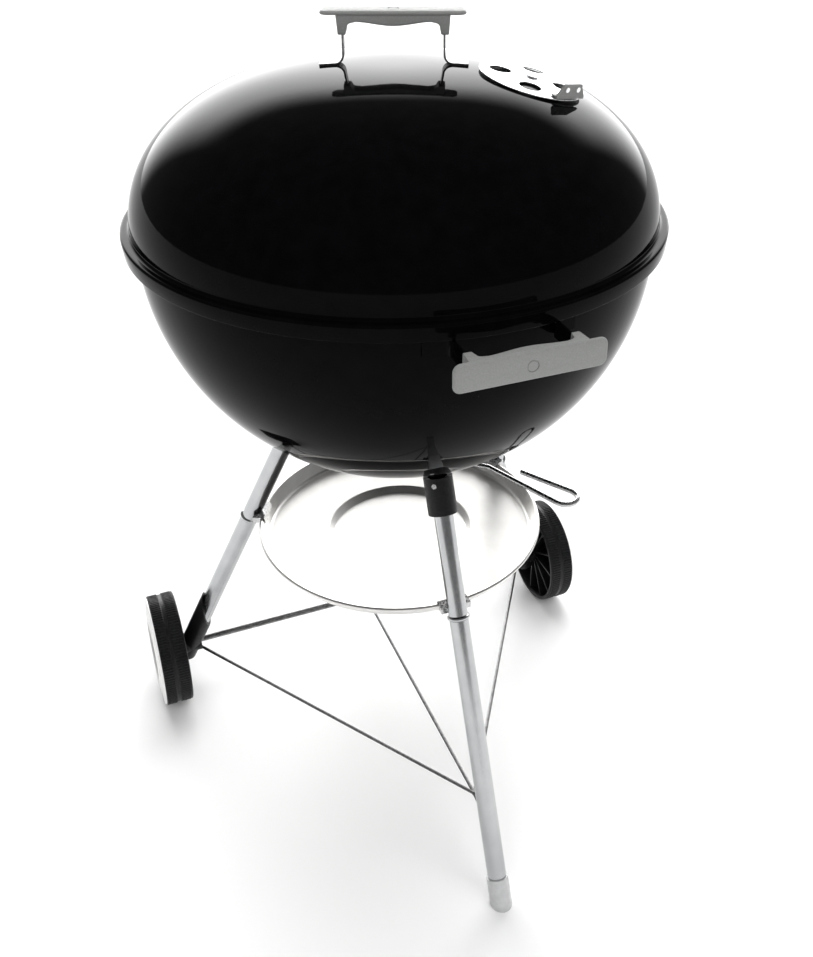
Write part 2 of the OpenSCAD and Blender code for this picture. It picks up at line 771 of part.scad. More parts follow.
// A flat ring with rods welded across it
module grille(r, wire, rod, pitch, z) {
    n = floor((r - 2 * wire - 4) / pitch);
    translate([0, 0, z]) rotate_extrude($fn = 120) translate([r - wire, -wire])
        square(2 * wire);
    for (i = [-n : n]) let (y = i * pitch, half = sqrt(r * r - y * y))
        translate([-half, y, z]) rotate([0, 90, 0]) cylinder(h = 2 * half, r = rod, $fn = 24);
}
module cooking_grate() {
    cross_z = cook_z - 2 * rod_r - 0.02;
    color(steel) {
        grille(cook_r, cook_wire_r, rod_r, cook_pitch, cook_z);
        for (x = [-cross_x, cross_x]) translate([x, -cross_l / 2, cross_z]) rotate([-90, 0, 0])
            cylinder(h = cross_l, r = rod_r, $fn = 24);
        for (side = [-1, 1]) lift_loop(side);
    }
}
// A square-cornered loop that stands on the ring, to lift the grate by
module lift_loop(side) {
    w = 2 * cook_wire_r;
    translate([side * (cook_r - lift_in) - w / 2, -lift_w / 2, cook_z + cook_wire_r + 0.02])
        difference() {
            cube([w, lift_w, lift_h]);
            translate([-1, w, -1]) cube([w + 2, lift_w - 2 * w, lift_h - w + 1]);
        }
}
module charcoal_grate() {
    color(steel) {
        grille(coal_r, coal_wire_r, coal_rod_r, coal_pitch, coal_z);
        translate([0, -cross_l / 2, coal_z - 2 * coal_rod_r - 0.02]) rotate([-90, 0, 0])
            cylinder(h = cross_l, r = coal_rod_r, $fn = 24);
    }
}

// ---------- sweeper ----------

module vent_bush() {
    z = bowl_bottom_z;
    color(steel) difference() {
        union() {
            translate([0, 0, z - 2]) cylinder(h = 2, r = bush_r + 4);
            translate([0, 0, z - 2]) cylinder(h = 4.5, r = bush_r - 2 - press);
        }
        translate([0, 0, z - 10]) cylinder(h = 30, r = shaft_r + running_gap);
    }
}
module sweeper_shaft() {
    color(steel) translate([0, 0, lever_z - 12])
        cylinder(h = bowl_bottom_z - lever_z + 24, r = shaft_r);
}
module sweeper_hub() {
    z = bowl_in_z(hub_plate_r) + blade_gap + blade_t + 0.02;
    color(steel) difference() {
        union() {
            translate([0, 0, z]) cylinder(h = 1.5, r = hub_plate_r);
            translate([0, 0, z]) cylinder(h = 6, r = shaft_r + 4);
        }
        translate([0, 0, z - 1]) cylinder(h = 10, r = shaft_r + press);
    }
}
module blade(i) {
    r0 = shaft_r + 7;
    n = 12;
    under = [for (k = [0 : n]) let (r = r0 + (blade_r - r0) * k / n) [r, bowl_in_z(r) + blade_gap]];
    over = [for (k = [n : -1 : 0]) [under[k].x, under[k].y + blade_t]];
    color(steel) rotate([0, 0, (i - 1) * 360 / vents + 60 - blade_angle / 2])
        rotate_extrude(angle = blade_angle, $fn = 96) polygon(concat(under, over));
}
module lever_hub() {
    color(aluminium) difference() {
        translate([0, 0, lever_z - 7]) cylinder(h = 18, r1 = 15, r2 = 12);
        translate([0, 0, lever_z - 8]) cylinder(h = 30, r = shaft_r + press);
        rod([0, 0, lever_z], [lever_bend.x, lever_bend.y, lever_z], lever_r + press);
    }
}
// The rod lies at the height of the lever's hub. Its bend and its loop are arcs.
module lever_arc(c, r, a0, a1) {
    translate([c.x, c.y, lever_z]) rotate([0, 0, a0]) rotate_extrude(angle = a1 - a0)
        translate([r, 0]) circle(r = lever_r + 0.1);
}
module lever_rod() {
    function along(a) = [cos(a), sin(a), 0];
    lift = [0, 0, lever_z];
    out_dir = atan2(lever_bend.y, lever_bend.x);
    a0 = loop_dir[0] - 90;
    a1 = loop_dir[1] + 90;
    loop = [loop_c.x, loop_c.y, lever_z];
    bend = [lever_bend.x, lever_bend.y, lever_z];
    cut = bend_r * tan((out_dir - loop_dir[0]) / 2);
    bend_in = bend - cut * along(out_dir);
    bend_out = bend + cut * along(loop_dir[0]);
    bend_c = bend_in + bend_r * along(out_dir - 90);
    near = loop + loop_r * along(a0);
    far = loop + loop_r * along(a1);
    color(steel) {
        rod(7 * along(out_dir) + lift, bend_in + lap * along(out_dir), lever_r);
        lever_arc(bend_c, bend_r, loop_dir[0] + 90, out_dir + 90);
        rod(bend_out - lap * along(loop_dir[0]), near + lap * along(loop_dir[0]), lever_r);
        lever_arc(loop, loop_r, a0, a1);
        rod(far + lap * along(loop_dir[1]), far - loop_back * along(loop_dir[1]), lever_r);
    }
}
module lever_nut() {
    color(steel) translate([0, 0, lever_z - 13]) difference() {
        cylinder(h = 5, r = 8.5, $fn = 6);
        translate([0, 0, -1]) cylinder(h = 8, r = shaft_r + press);
    }
}

lid_shell();
lid_handle_grip();
lid_handle_straps();
lid_handle_screws();
lid_hook();
damper_disc();
damper_tab();
damper_tab_rivets();
damper_pivot_rivet();
bowl_shell();
front_handle_grip();
rear_handle_grip();
front_handle_straps();
rear_handle_straps();
front_handle_screws();
rear_handle_screws();
grate_supports();
front_leg_socket();
left_leg_socket();
right_leg_socket();
front_leg_tube();
left_leg_tube();
right_leg_tube();
front_leg_collar();
collar_rivet();
front_foot_cap();
left_leg_insert();
right_leg_insert();
leg_brace();
axle();
left_wheel();
right_wheel();
left_wheel_trim();
right_wheel_trim();
left_hub_cap();
right_hub_cap();
ash_catcher();
ash_catcher_clips();
cooking_grate();
charcoal_grate();
vent_bush();
sweeper_shaft();
sweeper_hub();
blade(1);  // sweeper_blade_1
blade(2);  // sweeper_blade_2
blade(3);  // sweeper_blade_3
lever_hub();
lever_rod();
lever_nut();
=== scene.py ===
"""A kettle charcoal grill: its smooth shells, grips, tubes, wheels and wires, with finishes and a stage.

Metres, in the frame of the CAD model. Sizes that aren't written here are read from its nodes.
"""
import json
import math

import bmesh
import bpy
from mathutils import Matrix, Vector


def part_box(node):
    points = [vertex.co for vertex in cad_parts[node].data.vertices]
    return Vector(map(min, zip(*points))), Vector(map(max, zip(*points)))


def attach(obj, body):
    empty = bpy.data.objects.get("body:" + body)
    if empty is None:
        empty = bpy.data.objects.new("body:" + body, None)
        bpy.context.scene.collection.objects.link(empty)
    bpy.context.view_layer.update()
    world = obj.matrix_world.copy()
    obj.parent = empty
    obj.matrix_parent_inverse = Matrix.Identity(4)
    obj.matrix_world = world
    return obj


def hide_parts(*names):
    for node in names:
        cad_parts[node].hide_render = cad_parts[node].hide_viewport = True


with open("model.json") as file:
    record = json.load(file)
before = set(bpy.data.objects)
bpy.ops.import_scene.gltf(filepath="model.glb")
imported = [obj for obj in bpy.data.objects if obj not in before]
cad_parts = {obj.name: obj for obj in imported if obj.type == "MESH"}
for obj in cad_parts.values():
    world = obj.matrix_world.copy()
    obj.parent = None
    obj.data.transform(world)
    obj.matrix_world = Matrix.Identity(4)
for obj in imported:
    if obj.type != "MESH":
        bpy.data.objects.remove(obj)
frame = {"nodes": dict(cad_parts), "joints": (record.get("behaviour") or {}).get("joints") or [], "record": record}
NODES = frame["nodes"]
JOINTS = {j["name"]: j for j in frame["joints"]}
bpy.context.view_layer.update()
MM = 0.001

# ---------- sizes ----------

SHELL_T = 1.6 * MM
SKIRT_H = 17 * MM
FLANGE_R = 3 * MM
FILLET_R = 4 * MM
LID_R = 281 * MM
BOWL_R = 278 * MM
BEAD_R = 3.5 * MM
LID_POWER = 2.6
LID_TURN = -21
CURVE_N = 72

lid_low, lid_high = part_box("lid_shell")
RIM_R = lid_high[0]
RIM_Z = lid_low[2] + SKIRT_H
DOME_Z = RIM_Z + FILLET_R
APEX_Z = lid_high[2]
LID_H = APEX_Z - DOME_Z
BEAD_Z = RIM_Z - SHELL_T - 0.3 * MM - BEAD_R
BOWL_Z = BEAD_Z - 9 * MM
BOWL_D = BOWL_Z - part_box("bowl_shell")[0][2]

GRIP_L, GRIP_W, GRIP_D = 146 * MM, 28 * MM, 24 * MM
PLATE_T = 4.5 * MM
HORN_X = 51 * MM
SCREW_D = 18 * MM

# ---------- finishes ----------


class Finish:
    """A Principled material with its own coordinates and helpers for patterns."""

    def __init__(self, name, metallic=0.0, ior=1.5):
        self.material = bpy.data.materials.new(name)
        self.material.use_nodes = True
        self.tree = self.material.node_tree
        self.shader = self.tree.nodes["Principled BSDF"]
        self.shader.inputs["Metallic"].default_value = metallic
        self.shader.inputs["IOR"].default_value = ior
        self.place = self.tree.nodes.new("ShaderNodeTexCoord").outputs["Object"]

    def link(self, output, socket):
        self.tree.links.new(output, socket)

    def stretched(self, scale, centre=(0, 0, 0)):
        """Object coordinates moved to a centre and scaled along each axis."""
        shift = self.tree.nodes.new("ShaderNodeVectorMath")
        shift.operation = "SUBTRACT"
        shift.inputs[1].default_value = centre
        self.link(self.place, shift.inputs[0])
        grow = self.tree.nodes.new("ShaderNodeVectorMath")
        grow.operation = "MULTIPLY"
        grow.inputs[1].default_value = scale
        self.link(shift.outputs[0], grow.inputs[0])
        return grow.outputs[0]

    def noise(self, scale, detail=3.0, rough=0.5, where=None):
        n = self.tree.nodes.new("ShaderNodeTexNoise")
        n.inputs["Scale"].default_value = scale
        n.inputs["Detail"].default_value = detail
        n.inputs["Roughness"].default_value = rough
        self.link(where or self.place, n.inputs["Vector"])
        return n.outputs["Fac"]

    def rings(self, pitch, centre):
        """0 to 1 ripples in the distance from a vertical axis."""
        flat = self.stretched((1, 1, 0), centre)
        length = self.tree.nodes.new("ShaderNodeVectorMath")
        length.operation = "LENGTH"
        self.link(flat, length.inputs[0])
        n = self.tree.nodes.new("ShaderNodeTexNoise")
        n.noise_dimensions = "1D"
        n.inputs["Scale"].default_value = 1 / pitch
        n.inputs["Detail"].default_value = 2
        self.link(length.outputs["Value"], n.inputs["W"])
        return n.outputs["Fac"]

    def between(self, fac, low, high):
        """A number from low to high as fac goes from 0.3 to 0.7."""
        n = self.tree.nodes.new("ShaderNodeMapRange")
        n.inputs["From Min"].default_value = 0.3
        n.inputs["From Max"].default_value = 0.7
        n.inputs["To Min"].default_value = low
        n.inputs["To Max"].default_value = high
        self.link(fac, n.inputs["Value"])
        return n.outputs["Result"]

    def colour(self, fac, dark, light):
        n = self.tree.nodes.new("ShaderNodeMix")
        n.data_type = "RGBA"
        n.inputs[6].default_value = (*dark, 1)
        n.inputs[7].default_value = (*light, 1)
        self.link(self.between(fac, 0, 1), n.inputs[0])
        self.link(n.outputs[2], self.shader.inputs["Base Color"])

    def roughness(self, fac, low, high):
        self.link(self.between(fac, low, high), self.shader.inputs["Roughness"])

    def bump(self, height, depth):
        n = self.tree.nodes.new("ShaderNodeBump")
        n.inputs["Distance"].default_value = depth
        n.inputs["Strength"].default_value = 1
        self.link(height, n.inputs["Height"])
        self.link(n.outputs["Normal"], self.shader.inputs["Normal"])


def enamel():
    f = Finish("black_enamel", ior=1.1)
    f.colour(f.noise(60), (0.0012, 0.0012, 0.0014), (0.002, 0.002, 0.0024))
    f.roughness(f.noise(18, 5), 0.035, 0.075)
    f.bump(f.noise(110, 2), 0.02 * MM)
    return f.material


def nylon():
    f = Finish("grey_nylon")
    f.colour(f.noise(700, 5, 0.7), (0.20, 0.205, 0.20), (0.26, 0.265, 0.255))
    f.roughness(f.noise(300, 3), 0.42, 0.6)
    f.bump(f.noise(1400, 4, 0.6), 0.06 * MM)
    return f.material


def drawn_aluminium():
    f = Finish("drawn_aluminium", metallic=1)
    streaks = f.noise(1, 4, 0.6, f.stretched((700, 700, 60)))
    f.colour(f.noise(35, 4), (0.42, 0.43, 0.44), (0.50, 0.505, 0.51))
    f.roughness(streaks, 0.13, 0.22)
    f.bump(streaks, 0.004 * MM)
    return f.material


def spun_aluminium(centre):
    f = Finish("spun_aluminium", metallic=1)
    ripples = f.rings(0.9 * MM, centre)
    f.colour(f.noise(26, 5), (0.80, 0.79, 0.77), (0.90, 0.89, 0.87))
    f.roughness(ripples, 0.3, 0.44)
    f.bump(ripples, 0.02 * MM)
    return f.material


def sheet_aluminium():
    f = Finish("sheet_aluminium", metallic=1)
    grain = f.noise(1, 4, 0.6, f.stretched((60, 1800, 400)))
    f.colour(f.noise(40, 4), (0.84, 0.85, 0.86), (0.92, 0.92, 0.93))
    f.roughness(grain, 0.26, 0.32)
    f.bump(f.noise(300, 2), 0.0015 * MM)
    return f.material


def plated_steel():
    f = Finish("plated_steel", metallic=1)
    f.colour(f.noise(120, 4), (0.46, 0.46, 0.46), (0.58, 0.58, 0.58))
    f.roughness(f.noise(350, 4), 0.2, 0.32)
    f.bump(f.noise(500, 3), 0.003 * MM)
    return f.material


def dark_steel():
    f = Finish("dark_steel", metallic=1)
    f.colour(f.noise(260, 5), (0.12, 0.12, 0.12), (0.25, 0.25, 0.25))
    f.roughness(f.noise(320, 4), 0.28, 0.46)
    f.bump(f.noise(600, 3), 0.004 * MM)
    return f.material


def black_plastic():
    f = Finish("black_plastic", ior=1.3)
    f.colour(f.noise(320, 4), (0.005, 0.005, 0.0055), (0.012, 0.012, 0.013))
    f.roughness(f.noise(240, 4), 0.32, 0.46)
    f.bump(f.noise(1600, 3, 0.6), 0.05 * MM)
    return f.material


def white_plastic():
    f = Finish("white_plastic")
    f.colour(f.noise(120, 4), (0.80, 0.80, 0.79), (0.88, 0.88, 0.87))
    f.roughness(f.noise(200, 3), 0.26, 0.4)
    f.bump(f.noise(900, 2), 0.015 * MM)
    return f.material


def clear_plastic():
    f = Finish("clear_plastic", ior=1.45)
    f.colour(f.noise(150, 4), (0.74, 0.745, 0.75), (0.84, 0.845, 0.85))
    f.roughness(f.noise(260, 3), 0.12, 0.24)
    f.bump(f.noise(700, 3), 0.01 * MM)
    f.shader.inputs["Transmission Weight"].default_value = 0.35
    return f.material


dish_low, dish_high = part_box("ash_catcher")
DISH_C = ((dish_low[0] + dish_high[0]) / 2, (dish_low[1] + dish_high[1]) / 2, 0)
FINISH = {
    "enamel": enamel(),
    "grip_nylon": nylon(),
    "aluminium": drawn_aluminium(),
    "spun": spun_aluminium(DISH_C),
    "sheet": sheet_aluminium(),
    "plated_steel": plated_steel(),
    "dark_steel": dark_steel(),
    "black_plastic": black_plastic(),
    "white_plastic": white_plastic(),
    "clear": clear_plastic(),
}
SLOT_OF = {p["node"]: p["material_slot"] for p in frame["record"]["subparts"]}
OWN_FINISH = {"damper_tab_rivets": "sheet", "damper_pivot_rivet": "sheet", "front_foot_cap": "clear"}
for name, node in NODES.items():
    for slot in node.material_slots:
        slot.material = FINISH[OWN_FINISH.get(name, SLOT_OF[name])]

# ---------- mesh helpers ----------


def arc(centre, radius, start, end, n=8):
    """Points on an arc, with its angles in degrees."""
    angles = [math.radians(start + (end - start) * i / n) for i in range(n + 1)]
    return [(centre[0] + radius * math.cos(a), centre[1] + radius * math.sin(a)) for a in angles]


def quarter(radius, height, z, sign, power=2.0):
    """Quarter of an ellipse, from its axis to its rim. A power above 2 squares its shoulder."""
    angles = [math.pi / 2 * (1 - i / CURVE_N) for i in range(CURVE_N + 1)]
    return [(radius * abs(math.cos(a)) ** (2 / power) if i else 0.0, z + sign * height * math.sin(a))
            for i, a in enumerate(angles)]


def turned(mesh, profile, place=Matrix.Identity(4), segments=192, radius_at=None):
    """Adds a closed outline of (radius, height) points turned round an axis."""
    rings = []
    for i, (r, z) in enumerate(profile):
        if r < 1e-6:
            rings.append([mesh.verts.new(place @ Vector((0, 0, z)))])
            continue
        ring = []
        for k in range(segments):
            a = 2 * math.pi * k / segments
            rr = radius_at(i, k, r) if radius_at else r
            ring.append(mesh.verts.new(place @ Vector((rr * math.cos(a), rr * math.sin(a), z))))
        rings.append(ring)
    for a, b in zip(rings, rings[1:] + rings[:1]):
        for k in range(segments):
            corners = [a[k % len(a)], a[(k + 1) % len(a)], b[(k + 1) % len(b)], b[k % len(b)]]
            corners = list(dict.fromkeys(corners))
            if len(corners) > 2:
                mesh.faces.new(corners)
    return mesh


def lofted(mesh, rings):
    """Closes the ends of a row of rings of vertices and joins each ring to the next."""
    n = len(rings[0])
    for a, b in zip(rings, rings[1:]):
        for i in range(n):
            j = (i + 1) % n
            mesh.faces.new((a[i], a[j], b[j], b[i]))
    mesh.faces.new(rings[0][::-1])
    mesh.faces.new(rings[-1])


def drum(radius, low, high):
    """Outline of a solid cylinder, to be turned."""
    return [(0, low), (radius, low), (radius, high), (0, high)]


def prism(mesh, outline, low, high, place=Matrix.Identity(4)):
    """Adds an outline of (x, z) points, extruded from y = low to y = high."""
    sides = [[mesh.verts.new(place @ Vector((x, y, z))) for x, z in outline] for y in (low, high)]
    lofted(mesh, sides)


def piece(name, mesh, finish, body, stands_for=(), sharp=35):
    """Makes an object of a bmesh, rides it on a body and gives it its finish."""
    bmesh.ops.recalc_face_normals(mesh, faces=mesh.faces[:])
    data = bpy.data.meshes.new(name)
    mesh.to_mesh(data)
    mesh.free()
    data.shade_smooth()
    data.set_sharp_from_angle(angle=math.radians(sharp))
    data.materials.append(FINISH[finish])
    obj = bpy.data.objects.new(name, data)
    bpy.context.scene.collection.objects.link(obj)
    if body:
        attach(obj, body)
        if stands_for:
            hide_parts(*stands_for)
    return obj


def tool(mesh):
    """A mesh that only cuts or joins another."""
    return piece("tool", mesh, "enamel", None)


def boolean(obj, other, operation, sharp=35):
    """Cuts or joins a mesh with another, which is then removed."""
    step = obj.modifiers.new(operation, "BOOLEAN")
    step.operation = operation
    step.solver = "EXACT"
    step.object = other
    made = bpy.data.meshes.new_from_object(obj.evaluated_get(bpy.context.evaluated_depsgraph_get()))
    obj.modifiers.clear()
    old = obj.data
    obj.data = made
    made.name = old.name
    made.shade_smooth()
    made.set_sharp_from_angle(angle=math.radians(sharp))
    bpy.data.meshes.remove(old)
    bpy.data.objects.remove(other)


def along(start, direction, x_axis=None):
    """Matrix whose z runs along a direction from a start point."""
    z = Vector(direction).normalized()
    x = Vector(x_axis) if x_axis else z.orthogonal()
    x = (x - x.dot(z) * z).normalized()
    y = z.cross(x)
    m = Matrix((x, y, z)).transposed().to_4x4()
    m.translation = start
    return m


# ---------- lid ----------

DAMPER_AT = Vector(JOINTS["damper_turn"]["pos_m"])
DAMPER = along(DAMPER_AT, JOINTS["damper_turn"]["axis"], (DAMPER_AT.x, DAMPER_AT.y, 0))
HOLE_AT, HOLE_R, HOLE_N = 33 * MM, 11.5 * MM, 4
PIVOT_R = 3.1 * MM


def at_hole(turn):
    """Matrix of a hole that stands a part of a turn round the damper's axis."""
    a = 2 * math.pi * turn
    return DAMPER @ Matrix.Translation((HOLE_AT * math.cos(a), HOLE_AT * math.sin(a), 0))


def lid_shell():
    flange = (RIM_R - FLANGE_R, RIM_Z - FLANGE_R)
    fillet = (LID_R + FILLET_R, DOME_Z)
    hem = (RIM_R - 1.9 * MM, RIM_Z - SKIRT_H + 0.8 * MM)
    outside = (quarter(LID_R, LID_H, DOME_Z, 1, LID_POWER)
               + arc(fillet, FILLET_R, 180, 270)[1:]
               + arc(flange, FLANGE_R, 90, 0)
               + arc(hem, 0.8 * MM, 0, -180, 6))
    inside = (arc(flange, FLANGE_R - SHELL_T, 0, 90)
              + arc(fillet, FILLET_R + SHELL_T, 270, 180)
              + quarter(LID_R - SHELL_T, LID_H - SHELL_T, DOME_Z, 1, LID_POWER)[-2::-1])
    lid = piece("lid", turned(bmesh.new(), outside + inside, segments=256), "enamel", "lid",
                ["lid_shell"])
    cutters = bmesh.new()
    for i in range(HOLE_N):
        turned(cutters, drum(HOLE_R - 1 * MM, -20 * MM, 20 * MM), at_hole((i + 0.5) / HOLE_N), 48)
    boolean(lid, tool(cutters), "DIFFERENCE")


# ---------- damper ----------


def damper_disc():
    radius = max((DAMPER.inverted() @ v.co).xy.length for v in NODES["damper_disc"].data.vertices)
    bow, t, lift = 520 * MM, 1.2 * MM, 1.2 * MM
    n = 24

    def skin(z0, r_max):
        rr = [r_max * i / n for i in range(n + 1)]
        return [(r, z0 - (bow - math.sqrt(bow * bow - r * r))) for r in rr]

    top = skin(lift + t, radius - 0.5 * MM)
    under = skin(lift, radius - 0.5 * MM)
    edge_z = (top[-1][1] + under[-1][1]) / 2
    rim = arc((radius - 0.6 * MM, edge_z), 0.6 * MM, 80, -80, 6)
    disc = piece("damper", turned(bmesh.new(), top + rim + under[::-1], DAMPER, 128), "sheet",
                 "lid_damper", ["damper_disc"])
    cutters = bmesh.new()
    for i in range(HOLE_N):
        turned(cutters, drum(HOLE_R, -9 * MM, 9 * MM), at_hole(i / HOLE_N), 64)
    turned(cutters, drum(PIVOT_R, -9 * MM, 9 * MM), DAMPER, 32)
    boolean(disc, tool(cutters), "DIFFERENCE")


# ---------- bowl ----------

VENT_IN, VENT_OUT, VENT_W = 42 * MM, 92 * MM, 22 * MM
VENTS = 3


def bowl_shell():
    bead = (RIM_R - 8 * MM, BEAD_Z)
    wall = quarter(BOWL_R, BOWL_D, BOWL_Z, -1)
    lining = quarter(BOWL_R - SHELL_T, BOWL_D - SHELL_T, BOWL_Z, -1)[::-1]
    roll = arc(bead, BEAD_R, -110, 150, 24)
    bowl = piece("bowl", turned(bmesh.new(), wall + roll + [(BOWL_R - 0.6 * MM, BEAD_Z - 2 * MM)]
                                + lining, segments=256), "enamel", "stand", ["bowl_shell"])
    cutters = bmesh.new()
    low = BOWL_Z - BOWL_D - 10 * MM
    turned(cutters, drum(7 * MM, 0, 20 * MM), Matrix.Translation((0, 0, low)), 48)
    r = VENT_W / 2
    slot = arc((VENT_OUT - r, 0), r, -90, 90, 16) + arc((VENT_IN + r, 0), r, 90, 270, 16)
    upright = Matrix(((1, 0, 0, 0), (0, 0, -1, 0), (0, 1, 0, low), (0, 0, 0, 1)))
    for i in range(VENTS):
        turn = Matrix.Rotation(math.radians(60 + 360 * i / VENTS), 4, "Z")
        prism(cutters, slot, -60 * MM, 0, turn @ upright)
    boolean(bowl, tool(cutters), "DIFFERENCE")


# ---------- grips ----------


def grip_frame(node):
    """Matrix of a grip: x along it, z out of its face, from its node's box."""
    low, high = (Vector(v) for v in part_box(node))
    middle = (low + high) / 2
    if node == "lid_handle_grip":
        place = Matrix.Rotation(math.radians(LID_TURN + 180), 4, "Z")
        place.translation = (0, 0, high.z)
        return place
    side = -1 if middle.y < 0 else 1
    face_y = low.y if side < 0 else high.y
    x, z = Vector((-side, 0, 0)), Vector((0, side, 0))
    place = Matrix((x, z.cross(x), z)).transposed().to_4x4()
    place.translation = (0, face_y, middle.z)
    return place


def rounded_plate(mesh, place):
    """The face plate: a rounded oblong with a soft edge and a slight crown."""
    corner, edge, crown = 7.5 * MM, 2.4 * MM, 0.5 * MM
    half_l, half_w = GRIP_L / 2, GRIP_W / 2

    def ring(inset, z):
        r = corner - inset * 0.8
        cx, cy = half_l - inset - r, half_w - inset - r
        points = []
        for a0, sx, sy in ((0, 1, 1), (90, -1, 1), (180, -1, -1), (270, 1, -1)):
            points += arc((sx * cx, sy * cy), r, a0, a0 + 90, 8)
        return [mesh.verts.new(place @ Vector((x, y, z))) for x, y in points]

    levels = [(1.2 * MM, -PLATE_T), (0.35 * MM, -PLATE_T + 0.5 * MM), (0, -PLATE_T + 1.3 * MM)]
    for i in range(7):
        a = math.radians(15 * i)
        levels.append((edge * (1 - math.cos(a)), -crown - edge * (1 - math.sin(a))))
    levels += [(4.5 * MM, -0.25 * MM), (7.5 * MM, 0)]
    rings = [ring(*level) for level in levels]
    lofted(mesh, rings)
    return mesh


def grip_body(mesh, place):
    """The hand hold behind the plate, with a belly between its two horns."""
    arch, belly = 11.5 * MM, 15.5 * MM

    def depth(x):
        return belly - (belly - arch) * (1 - math.cos(math.pi * x / (40 * MM))) / 2

    half = [(57 * MM, -PLATE_T + 1.5 * MM), (56.4 * MM, -12 * MM), (55.5 * MM, -GRIP_D + 1 * MM),
            (54.7 * MM, -GRIP_D), (48.3 * MM, -GRIP_D), (47.5 * MM, -GRIP_D + 1 * MM)]
    half += arc((42 * MM, -arch - 5.5 * MM), 4.2 * MM, 0, 80, 5)
    half += [(40 * MM * (1 - i / 14), -depth(40 * MM * (1 - i / 14))) for i in range(1, 15)]
    half_w, top, rings = 12.5 * MM, -2.5 * MM, []
    for x, z in half + [(-x, z) for x, z in half[-2::-1]]:
        r = min(2.2 * MM, (top - z) * 0.45)
        side = [(half_w, top)] + arc((half_w - r, z + r), r, 0, -90, 6)
        loop = side + [(-y, z) for y, z in side[::-1]]
        rings.append([mesh.verts.new(place @ Vector((x, y, z))) for y, z in loop])
    lofted(mesh, rings)
    return mesh


def grip(name, node, body):
    place = grip_frame(node)
    made = piece(name, rounded_plate(bmesh.new(), place), "grip_nylon", body, [node])
    boolean(made, tool(grip_body(bmesh.new(), place)), "UNION", 30)
    cutters = bmesh.new()
    for side in (-1, 1):
        start = place @ Vector((side * (HORN_X + 3.8 * MM), 0, -SCREW_D))
        outward = along(start, place.to_3x3() @ Vector((side, 0, 0)))
        turned(cutters, drum(3.6 * MM, 0, 10 * MM), outward, 32)
    dimple = [(0, -0.7 * MM), (5.6 * MM, -0.7 * MM), (6 * MM, 1 * MM), (0, 1 * MM)]
    turned(cutters, dimple, place, 48)
    boolean(made, tool(cutters), "DIFFERENCE", 30)
    button = [(0, -1 * MM), (4.9 * MM, -1 * MM), (4.9 * MM, -0.4 * MM)]
    button += [(4.5 * MM * (1 - i / 6), (-0.15 + 0.02 * i) * MM) for i in range(7)]
    piece(name + "_boss", turned(bmesh.new(), button, place, 48), "grip_nylon", body)


# ---------- legs ----------

FRONT_LEAN, REAR_LEAN, REAR_DIR = (math.radians(v) for v in (-22.6, 25.2, -41.5))
FRONT_LEG = Matrix.Translation((0, -316.3 * MM, 0)) @ Matrix.Rotation(FRONT_LEAN, 4, "X")
LEFT_LEG = (Matrix.Translation((-262 * MM, 175 * MM, 76.5 * MM))
            @ Matrix.Rotation(REAR_DIR, 4, "Z") @ Matrix.Rotation(REAR_LEAN, 4, "Y"))
RIGHT_LEG = Matrix.Scale(-1, 4, (1, 0, 0)) @ LEFT_LEG
TUBE_R, TUBE_T = 11.1 * MM, 1.2 * MM
BEAD_AT_Z = 326 * MM
FRONT_TUBE = (4 * MM, 512 * MM)
REAR_TUBE = (34 * MM, 432 * MM)


def tube(name, node, place, low, high):
    """A drawn tube with a rolled bead and softly broken ends, from low to high along a leg."""
    soft, bead_out, bead_r = 0.4 * MM, 2 * MM, 2.2 * MM
    bead = (BEAD_AT_Z - place.translation.z) / place.to_3x3().col[2].z
    outside = [(TUBE_R - TUBE_T, low), (TUBE_R - soft, low), (TUBE_R, low + soft),
               (TUBE_R, bead - 3 * MM)]
    for degrees in range(15, 166, 15):
        a = math.radians(degrees)
        outside.append((TUBE_R + bead_out * math.sin(a) ** 0.8, bead - bead_r * math.cos(a)))
    outside += [(TUBE_R, bead + 3 * MM), (TUBE_R, high - soft), (TUBE_R - soft, high),
                (TUBE_R - TUBE_T, high)]
    piece(name, turned(bmesh.new(), outside, place, 96), "aluminium", "stand", [node])


# ---------- ash catcher ----------


def ash_catcher():
    roll = 2.2 * MM
    radius, top = dish_high[0], dish_high[2] - roll
    floor, recess = top - 15 * MM, top - 22 * MM
    t = 1.2 * MM
    r_fold, r_recess = 168 * MM, 90 * MM
    rim = arc((radius - roll, top), roll, 160, -80, 20)
    upper = [(0, recess), (r_recess - 7 * MM, recess)]
    upper += arc((r_recess - 7 * MM, recess + 3 * MM), 3 * MM, -90, -35, 6)[1:]
    upper += arc((r_recess + 3 * MM, floor - 3 * MM), 3 * MM, 145, 90, 6)
    upper += arc((r_fold - 6 * MM, floor + 6 * MM), 6 * MM, -90, -22, 8)
    lower = [(r + 0.2 * MM, z - t) if z < floor + 1 * MM else (r + t, z - 0.5 * MM) for r, z in upper]
    lower[0] = (0, recess - t)
    profile = upper + rim + lower[::-1]
    mesh = turned(bmesh.new(), profile, Matrix.Translation(DISH_C), 256)
    piece("ash_dish", mesh, "spun", "stand", ["ash_catcher"])


# ---------- wheels ----------

RIB_N = 120
SPOKE_N = 12


